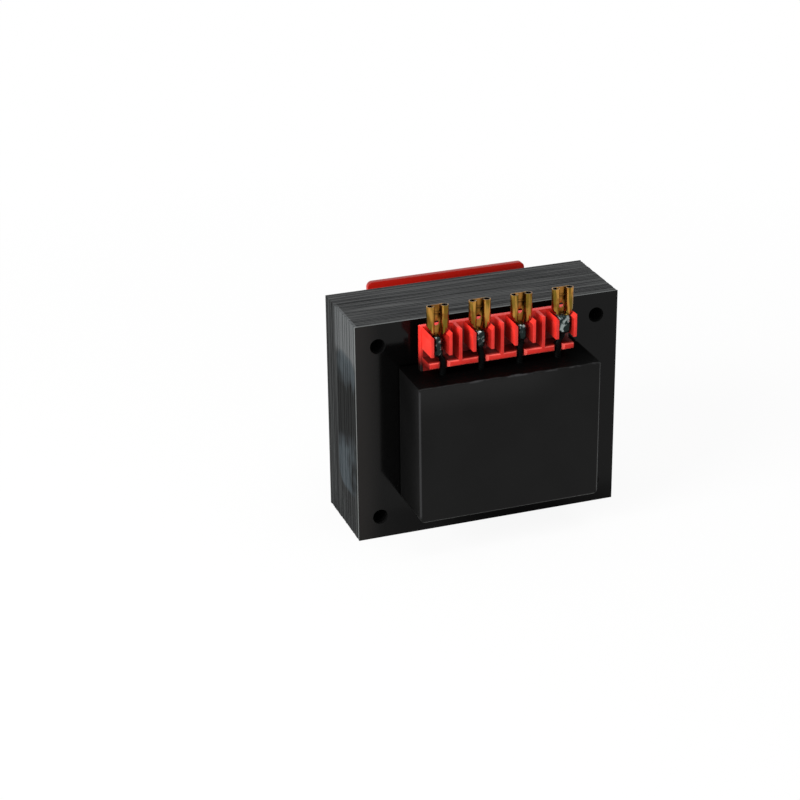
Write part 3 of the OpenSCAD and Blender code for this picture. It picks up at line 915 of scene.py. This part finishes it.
def new_piece(name: str, primitive: Callable[..., Any], scale: Sequence[float] = (1, 1, 1),
              **settings: Any) -> Object:
    """Starts a piece from a primitive, with its place in its mesh.

    Args:
        name: The piece's name.
        primitive: Operator that adds the primitive.
        scale: How far the primitive is stretched along each of its own axes.
        settings: Its size and place.

    Returns:
        The piece.
    """
    leave_edit_mode()
    primitive(**settings)
    piece = bpy.context.object
    piece.scale = scale
    piece.name = piece.data.name = name
    bpy.ops.object.transform_apply(location=True, rotation=True, scale=True)
    return piece


def join(pieces: Sequence[Object], name: str) -> Object:
    """Joins pieces into the first of them.

    Args:
        pieces: Pieces to join.
        name: Name of the joined piece.

    Returns:
        The joined piece.
    """
    take(pieces[0])
    for piece in pieces[1:]:
        piece.select_set(True)
    bpy.ops.object.join()
    pieces[0].name = pieces[0].data.name = name
    return pieces[0]


def moved_copy(piece: Object, move: Matrix) -> Object:
    """Copies a piece with a mesh of its own and moves that mesh.

    Args:
        piece: Piece to copy.
        move: How the copy moves.

    Returns:
        The copy.
    """
    twin = piece.copy()
    twin.data = piece.data.copy()
    twin.data.transform(move)
    bpy.context.scene.collection.objects.link(twin)
    return twin


def softened_copy(node: str, name: str, round_mm: float) -> Object:
    """Copies a CAD node as a piece with clean faces and softly rounded edges.

    Args:
        node: CAD node to copy.
        name: Name of the new piece.
        round_mm: Width of the rounding on each edge.

    Returns:
        The new piece.
    """
    piece = bpy.data.objects.new(name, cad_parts[node].data.copy())
    piece.data.name = name
    bpy.context.scene.collection.objects.link(piece)
    edit(piece)
    bpy.ops.mesh.customdata_custom_splitnormals_clear()
    bpy.ops.mesh.remove_doubles(threshold=MERGE)
    bpy.ops.mesh.dissolve_limited(angle_limit=math.radians(ONE_FACE))
    face_outwards()
    modify(piece, "BEVEL", width=round_mm * MM, segments=2, limit_method="ANGLE",
           angle_limit=math.radians(ROUNDED))
    smooth(piece, SHADED)
    return piece


def fit(piece: Object, material: Material, slot: str, node: str) -> None:
    """Gives a new piece its material and body, in place of the CAD node that it stands for.

    Args:
        piece: New piece.
        material: Its finish, which the hidden node gets too.
        slot: Not used.
        node: CAD node that it replaces.
    """
    piece.data.materials.clear()
    piece.data.materials.append(material)
    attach(piece, BODY)
    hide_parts(node)
    paint_node(node, material)
    LOG.info("%s: %d faces", piece.name, len(piece.data.polygons))


def paint_node(node: str, material: Material) -> None:
    """Gives a CAD node its material.

    Args:
        node: The node's name.
        material: Its finish.
    """
    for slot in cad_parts[node].material_slots:
        slot.material = material
    LOG.info("%s: CAD node in %s", node, material.name)


class Sheet(Enum):
    """The two shapes of lamination, each with the CAD node of its stack."""

    E = "e_laminations"
    I = "i_laminations"


@dataclass
class LaminatedCore:
    """Core of single sheets, every second one turned upside down, with sizes in millimetres."""

    width: float = 96.0
    height: float = 80.0
    limb: float = 16.0
    tongue: float = 32.0
    window: float = 16.0
    stack: float = 32.0
    pitch: float = 0.5
    thickness: float = 0.485
    hole_d: float = 5.5
    hole_inset: float = 8.0
    hole_sides: int = 32
    drill_length: float = 4.0
    # How much smaller a loose sheet is than its place, on each side, and the share of that it may slip by
    play: float = 0.09
    slip: float = 0.95
    burr: float = 0.05
    seed: int = 7
    finish: VarnishedSteel = field(default_factory=VarnishedSteel)

    def cut_windows(self, sheet: Object) -> None:
        """Cuts the two winding windows out of flat E stock.

        Args:
            sheet: The stock, as one flat face.
        """
        inner, outer = self.tongue / 2 * MM, (self.tongue / 2 + self.window) * MM
        floor = self.limb * MM
        edit(sheet)
        for x in (-outer, -inner, inner, outer):
            cut((x, 0, 0), (1, 0, 0))
        cut((0, 0, floor), (0, 0, 1))
        pick_faces(sheet, lambda face: inner < abs(face.center.x) < outer and face.center.z > floor)
        bpy.ops.mesh.delete(type="FACE")
        bpy.ops.mesh.select_all(action="SELECT")
        bpy.ops.mesh.dissolve_limited(angle_limit=math.radians(1))

    def drill(self, sheet: Object, level: float) -> None:
        """Drills the two clamping holes at one level.

        Args:
            sheet: Sheet that gets the holes.
            level: Height of the holes, in millimetres.
        """
        for side in (-1, 1):
            drill = new_piece(
                "drill", bpy.ops.mesh.primitive_cylinder_add, vertices=self.hole_sides,
                radius=self.hole_d / 2 * MM, depth=self.drill_length * MM, rotation=(math.pi / 2, 0, 0),
                location=(side * (self.width / 2 - self.hole_inset) * MM, 0, level * MM))
            modify(sheet, "BOOLEAN", object=drill, operation="DIFFERENCE", solver="EXACT")
            bpy.data.objects.remove(drill)

    def model(self, kind: Sheet) -> Object:
        """Models one sheet, upright and centred on Y = 0.

        Args:
            kind: Shape of the sheet.

        Returns:
            The sheet.
        """
        joint = self.height - self.limb
        low, high = (0.0, joint) if kind is Sheet.E else (joint, self.height)
        sheet = new_piece(
            "sheet_" + kind.name.lower(), bpy.ops.mesh.primitive_plane_add, size=1,
            scale=(self.width * MM, (high - low) * MM, 1), rotation=(math.pi / 2, 0, 0),
            location=(0, -self.thickness / 2 * MM, (low + high) / 2 * MM))
        if kind is Sheet.E:
            self.cut_windows(sheet)
        edit(sheet)
        bpy.ops.mesh.extrude_region_move(TRANSFORM_OT_translate={"value": (0, self.thickness * MM, 0)})
        face_outwards()
        self.drill(sheet, self.hole_inset if kind is Sheet.E else self.height - self.hole_inset)
        # The burr is ground off every edge but the joint's, where the sheets butt
        edit(sheet)
        bpy.ops.mesh.select_mode(type="EDGE")
        bpy.ops.mesh.select_all(action="DESELECT")
        bpy.ops.mesh.edges_select_sharp(sharpness=math.radians(50))
        drop_edges(sheet, lambda a, b: max(abs(a.z - joint * MM), abs(b.z - joint * MM)) < CLOSE)
        bpy.ops.mesh.bevel(offset=self.burr * MM, segments=1)
        return sheet

    def place(self, index: int, last: int, chance: random.Random) -> Matrix:
        """Finds the place of one sheet in the stack.

        Args:
            index: Number of the sheet, from the front.
            last: Number of the last sheet.
            chance: Source of the slips.

        Returns:
            Its move: turned if it is an odd one, and a little out of line if it is inside.
        """
        about = Matrix.Translation((0, 0, self.height / 2 * MM))
        turn = about @ Matrix.Rotation(math.pi * (index % 2), 4, "Y") @ about.inverted()
        slip = Matrix.Identity(4)
        if 0 < index < last:
            off = [chance.uniform(-self.play, self.play) * self.slip * MM for _ in range(2)]
            wide, high = (1 - 2 * self.play / size for size in (self.width, self.height))
            shrink = Matrix.Diagonal((wide, 1, high, 1))
            slip = Matrix.Translation((off[0], 0, off[1])) @ about @ shrink @ about.inverted()
        along = Matrix.Translation((0, (-self.stack / 2 + (index + 0.5) * self.pitch) * MM, 0))
        return along @ slip @ turn

    def build(self) -> Pieces:
        """Stacks the sheets.

        Returns:
            The stack of each kind.
        """
        pieces = {}
        count = round(self.stack / self.pitch)
        for kind in Sheet:
            chance = random.Random(self.seed)
            first = self.model(kind)
            stack = [moved_copy(first, self.place(i, count - 1, chance)) for i in range(count)]
            bpy.data.objects.remove(first)
            pieces[kind.value] = join(stack, kind.name.lower() + "_sheets")
        return pieces

    def dress(self, pieces: Pieces) -> None:
        """Varnishes the stacks.

        Args:
            pieces: The stack of each kind.
        """
        material = self.finish.build()
        for node, piece in pieces.items():
            fit(piece, material, "core_steel", node)


@dataclass
class Coil:
    """Wound coil in its resin casting, with sizes in millimetres."""

    head_half: float = 32.8
    head_front: float = 36.8
    resin_top: float = 63.4
    edge: float = 0.12
    lip_r: float = 0.42
    lip_sides: int = 10
    lip_wander: float = 0.3
    lip_inset: float = 0.9
    lip_drop: float = 0.35
    lip_step: float = 0.7
    ripple: float = 4.0
    finish: CastResin = field(default_factory=CastResin)

    def lip(self, side: int) -> Object:
        """Models the ragged lip that the pour leaves along a coil head's upper edge.

        Args:
            side: -1 for the front head and 1 for the rear one.

        Returns:
            The lip, as a piece of its own.
        """
        reach = self.head_front - self.lip_r - self.lip_wander
        half = self.head_half - self.lip_inset
        lip = new_piece(
            "resin_lip", bpy.ops.mesh.primitive_cylinder_add, vertices=self.lip_sides,
            radius=self.lip_r * MM, depth=2 * half * MM, rotation=(0, math.pi / 2, 0),
            location=(0, side * reach * MM, (self.resin_top - self.lip_drop) * MM))
        edit(lip)
        cuts = int(half / self.lip_step)
        for step in range(-cuts, cuts + 1):
            cut((step * self.lip_step * MM, 0, 0), (1, 0, 0))
        ripple = bpy.data.textures.new("pour_ripple", "CLOUDS")
        ripple.noise_scale = self.ripple * MM
        for axis in ("Y", "Z"):
            modify(lip, "DISPLACE", texture=ripple, strength=2 * self.lip_wander * MM, direction=axis)
        smooth(lip, 60)
        return lip

    def build(self) -> Pieces:
        """Models the casting with its lips.

        Returns:
            The casting.
        """
        casting = softened_copy("encapsulation", "resin_casting", self.edge)
        return {"encapsulation": join([casting, self.lip(-1), self.lip(1)], "resin_casting")}

    def dress(self, pieces: Pieces) -> None:
        """Gives the casting and the windings inside it their finishes.

        Args:
            pieces: The casting.
        """
        fit(pieces["encapsulation"], self.finish.build(), "casting_resin", "encapsulation")
        copper = EnamelledCopper().build()
        paint_node("primary_winding", copper)
        paint_node("secondary_winding", copper)
        paint_node("winding_film", InsulatingWrap("amber_polyester_film", "#b98a3c", "#9a6f2a").build())
        paint_node("outer_tape", InsulatingWrap("black_glass_tape", "#161617", "#222223").build())


@dataclass
class Bobbin:
    """Red moulding with the terminal block and the rear barrier, with sizes in millimetres."""

    edge: float = 0.22
    finish: RedMoulding = field(default_factory=RedMoulding)

    def build(self) -> Pieces:
        """Models the moulding with softened edges."""
        return {"bobbin": softened_copy("bobbin", "bobbin_moulding", self.edge)}

    def dress(self, pieces: Pieces) -> None:
        """Colours the moulding."""
        fit(pieces["bobbin"], self.finish.build(), "bobbin_plastic", "bobbin")


@dataclass(frozen=True)
class Blob:
    """Form of one solder joint: half sizes, level of its middle and seed of its lumps, in millimetres."""

    half_x: float
    half_y: float
    half_z: float
    level: float
    seed: int


@dataclass
class TerminalRow:
    """Receptacles, their solder joints and the leads from the coil, with sizes in millimetres."""

    pitch: float = 15.0
    slot_pitch: float = 13.9
    tail_face: float = -25.7
    wire_y: float = -26.9
    wire_d: float = 2.2
    wire_sides: int = 20
    wire_floor: float = 62.5
    shelf_top: float = 68.5
    cheek_floor: float = 71.5
    wire_top: float = 75.6
    swing_steps: int = 14
    strip_edge: float = 0.07
    lump: float = 0.35
    blobs: tuple[Blob, ...] = (
        Blob(1.5, 1.5, 3.7, 73.8, 3),
        Blob(1.6, 1.5, 3.0, 74.6, 5),
        Blob(1.55, 1.5, 2.9, 74.7, 8),
        Blob(2.6, 2.3, 3.5, 75.6, 13),
    )

    def x(self, index: int, pitch: float) -> float:
        """Place along the row of one of its four members."""
        return (index - 1.5) * pitch

    def solder(self, index: int) -> Object:
        """Models one solder joint, flat against the tail of its receptacle.

        Args:
            index: Number of the terminal, from the -X end.

        Returns:
            The joint.
        """
        blob = self.blobs[index]
        joint = new_piece(
            f"solder_{index + 1}", bpy.ops.mesh.primitive_cube_add, size=2,
            scale=(blob.half_x * MM, blob.half_y * MM, blob.half_z * MM),
            location=(self.x(index, self.pitch) * MM, self.wire_y * MM, blob.level * MM))
        edit(joint)
        bpy.ops.mesh.subdivide(number_cuts=1)
        bpy.ops.transform.vertex_random(offset=self.lump * MM, uniform=1.0, seed=blob.seed)
        modify(joint, "SUBSURF", levels=3, render_levels=3)
        edit(joint)
        cut((0, self.tail_face * MM, 0), (0, 1, 0), use_fill=True, clear_outer=True)
        bpy.ops.mesh.select_all(action="SELECT")
        bpy.ops.mesh.remove_doubles(threshold=CLOSE)
        face_outwards()
        smooth(joint, 60)
        return joint

    def lead(self, index: int) -> Object:
        """Models one lead as a round section drawn up from the coil, through its slot, to its solder joint.

        Args:
            index: Number of the terminal, from the -X end.

        Returns:
            The lead.
        """
        start, end = self.x(index, self.slot_pitch), self.x(index, self.pitch)
        rise = self.cheek_floor - self.shelf_top
        route = [(start, self.wire_floor), (start, self.shelf_top)]
        for step in range(1, self.swing_steps + 1):
            share = step / self.swing_steps
            swing = share * share * (3 - 2 * share)
            route.append((start + (end - start) * swing, self.shelf_top + share * rise))
        route.append((end, self.wire_top))
        lead = new_piece(
            f"lead_{index + 1}", bpy.ops.mesh.primitive_circle_add, vertices=self.wire_sides,
            radius=self.wire_d / 2 * MM, fill_type="NGON",
            location=(start * MM, self.wire_y * MM, self.wire_floor * MM))
        edit(lead)
        for (x0, z0), (x1, z1) in zip(route, route[1:]):
            move = (x1 - x0) * MM, 0, (z1 - z0) * MM
            bpy.ops.mesh.extrude_region_move(TRANSFORM_OT_translate={"value": move})
        bpy.ops.mesh.select_mode(type="VERT")
        bpy.ops.mesh.select_all(action="DESELECT")
        bpy.ops.mesh.select_non_manifold()
        bpy.ops.mesh.edge_face_add()
        face_outwards()
        smooth(lead, 40)
        return lead

    def receptacle(self, first: Object, index: int) -> Object:
        """Copies the first receptacle along the row.

        Args:
            first: The receptacle at the -X end.
            index: Number of the terminal, from that end.

        Returns:
            The copy.
        """
        twin = moved_copy(first, Matrix.Translation((index * self.pitch * MM, 0, 0)))
        twin.name = twin.data.name = f"receptacle_{index + 1}"
        return twin

    def build(self) -> Pieces:
        """Models the four terminals.

        Returns:
            Each terminal's receptacle, solder joint and lead.
        """
        first = softened_copy("terminal_1", "receptacle", self.strip_edge)
        pieces = {}
        for index, number in enumerate("1234"):
            pieces["terminal_" + number] = self.receptacle(first, index)
            pieces["solder_joint_" + number] = self.solder(index)
            pieces["lead_wire_" + number] = self.lead(index)
        bpy.data.objects.remove(first)
        return pieces

    def dress(self, pieces: Pieces) -> None:
        """Gives the terminals their finishes.

        Args:
            pieces: Each terminal's receptacle, solder joint and lead.
        """
        finishes = {"terminal": (StampedBrass().build(), "terminal_brass"),
                    "solder_joint": (TinSolder().build(), "solder"),
                    "lead_wire": (WireSleeve().build(), "lead_sleeve")}
        for node, piece in pieces.items():
            fit(piece, *finishes[node.rpartition("_")[0]], node)


@dataclass(frozen=True)
class Softbox:
    """Square studio lamp, aimed at the part, with its place and size in metres."""

    name: str
    place: tuple[float, float, float]
    size: float
    watts: float

    def build(self, aim: Vector) -> None:
        """Adds the lamp.

        Args:
            aim: Point that it faces.
        """
        lamp = bpy.data.lights.new(self.name, "AREA")
        lamp.shape = "SQUARE"
        lamp.size = self.size
        lamp.energy = self.watts
        holder = bpy.data.objects.new(self.name, lamp)
        holder.location = self.place
        holder.rotation_euler = (aim - Vector(self.place)).to_track_quat("-Z", "Y").to_euler()
        bpy.context.scene.collection.objects.link(holder)


@dataclass
class Studio:
    """Pale floor, white surround and soft lamps, with sizes in metres."""

    floor_colour: str = "#f2f2f1"
    floor_size: float = 8.0
    floor_cells: int = 4
    ambient: float = 0.34
    # Share of the floor that looks plain white, near the part and away from it, and the two distances: to the
    # camera, and in gloss and glass; the rest keeps the shadow
    seen_white: Pair = (0.92, 1.0)
    seen_reach: Pair = (0.12, 0.4)
    gloss_white: Pair = (0.15, 1.0)
    gloss_reach: Pair = (0.05, 0.25)
    aim: tuple[float, float, float] = (0.0, 0.0, 0.045)
    lamps: tuple[Softbox, ...] = (
        Softbox("key_softbox", (-0.92, -0.38, 0.56), 0.5, 12.5),
        Softbox("top_softbox", (0.1, -0.15, 1.2), 0.7, 5.0),
    )

    def world(self) -> None:
        """Lights the part evenly and shows plain white behind it, also in metal and glass."""
        surround = bpy.data.worlds.new("studio")
        surround.use_nodes = True
        tree = surround.node_tree
        tree.nodes.clear()
        light = add_node(tree, "Background", {"Color": WHITE, "Strength": self.ambient})
        white = add_node(tree, "Background", {"Color": WHITE, "Strength": 1.0})
        path = add_node(tree, "LightPath").outputs
        seen = add_node(tree, "Math", (path["Is Camera Ray"], path["Is Glossy Ray"]), operation="MAXIMUM")
        seen = add_node(tree, "Math", (seen, path["Is Transmission Ray"]), operation="MAXIMUM")
        add_node(tree, "OutputWorld", {"Surface": add_node(tree, "MixShader", (seen, light, white))})
        bpy.context.scene.world = surround

    def floor(self) -> None:
        """Lays the pale floor under the part."""
        ground = new_piece("studio_floor", bpy.ops.mesh.primitive_grid_add, size=self.floor_size,
                           x_subdivisions=self.floor_cells, y_subdivisions=self.floor_cells)
        coat = Coat("pale_studio_paper")
        away = coat.add("VectorMath", (coat.place,), operation="LENGTH")
        path = coat.add("LightPath").outputs
        seen = coat.add("MapRange", (away, *self.seen_reach, *self.seen_white))
        seen = coat.add("Math", (seen, path["Is Camera Ray"]), operation="MULTIPLY")
        gloss = coat.add("MapRange", (away, *self.gloss_reach, *self.gloss_white))
        other = coat.add("Math", (path["Is Glossy Ray"], path["Is Transmission Ray"]), operation="MAXIMUM")
        share = coat.add("Math", (gloss, other, seen), operation="MULTIPLY_ADD")
        paper = coat.add("BsdfDiffuse", {"Color": self.floor_colour})
        white = coat.add("Emission", {"Color": WHITE, "Strength": 1.0})
        coat.add("OutputMaterial", {"Surface": coat.add("MixShader", (share, paper, white))})
        ground.data.materials.append(coat.material)

    def build(self) -> None:
        """Sets up the studio."""
        bpy.context.scene.view_settings.view_transform = "Standard"
        self.world()
        self.floor()
        for lamp in self.lamps:
            lamp.build(Vector(self.aim))


@dataclass(frozen=True)
class PhotoCamera:
    """Camera at the photograph's place, fitted to the core's edges, in degrees and millimetres."""

    azimuth: float = -19.2668
    elevation: float = 24.0589
    roll: float = -0.7101
    distance: float = 757.883
    aim: tuple[float, float, float] = (0.0, -16.0, 40.0)
    offset_right: float = -30.586
    offset_up: float = 5.5078
    lens: float = 98.293
    sensor: float = 36.0
    near: float = 10.0

    def build(self) -> None:
        """Adds the camera and makes it the scene's own."""
        a, e, r = (math.radians(v) for v in (self.azimuth, self.elevation, self.roll))
        back = Vector((math.sin(a) * math.cos(e), -math.cos(a) * math.cos(e), math.sin(e)))
        level = Vector((math.cos(a), math.sin(a), 0))
        above = back.cross(level)
        right = level * math.cos(r) + above * math.sin(r)
        up = above * math.cos(r) - level * math.sin(r)
        place = Vector(self.aim) + back * self.distance + right * self.offset_right + up * self.offset_up
        data = bpy.data.cameras.new("photo_camera")
        data.lens = self.lens
        data.sensor_width = self.sensor
        data.clip_start = self.near * MM
        camera = bpy.data.objects.new("photo_camera", data)
        turn = Matrix((right, up, back)).transposed().to_4x4()
        camera.matrix_world = Matrix.Translation(place * MM) @ turn
        bpy.context.scene.collection.objects.link(camera)
        bpy.context.scene.camera = camera


def main() -> None:
    """Builds the looks in order."""
    logging.basicConfig(level=logging.INFO, format="%(name)s: %(message)s")
    PhotoCamera().build()
    Studio().build()
    for assembly in (LaminatedCore(), Coil(), Bobbin(), TerminalRow()):
        assembly.dress(assembly.build())
    leave_edit_mode()


if __name__ == "__main__":
    main()
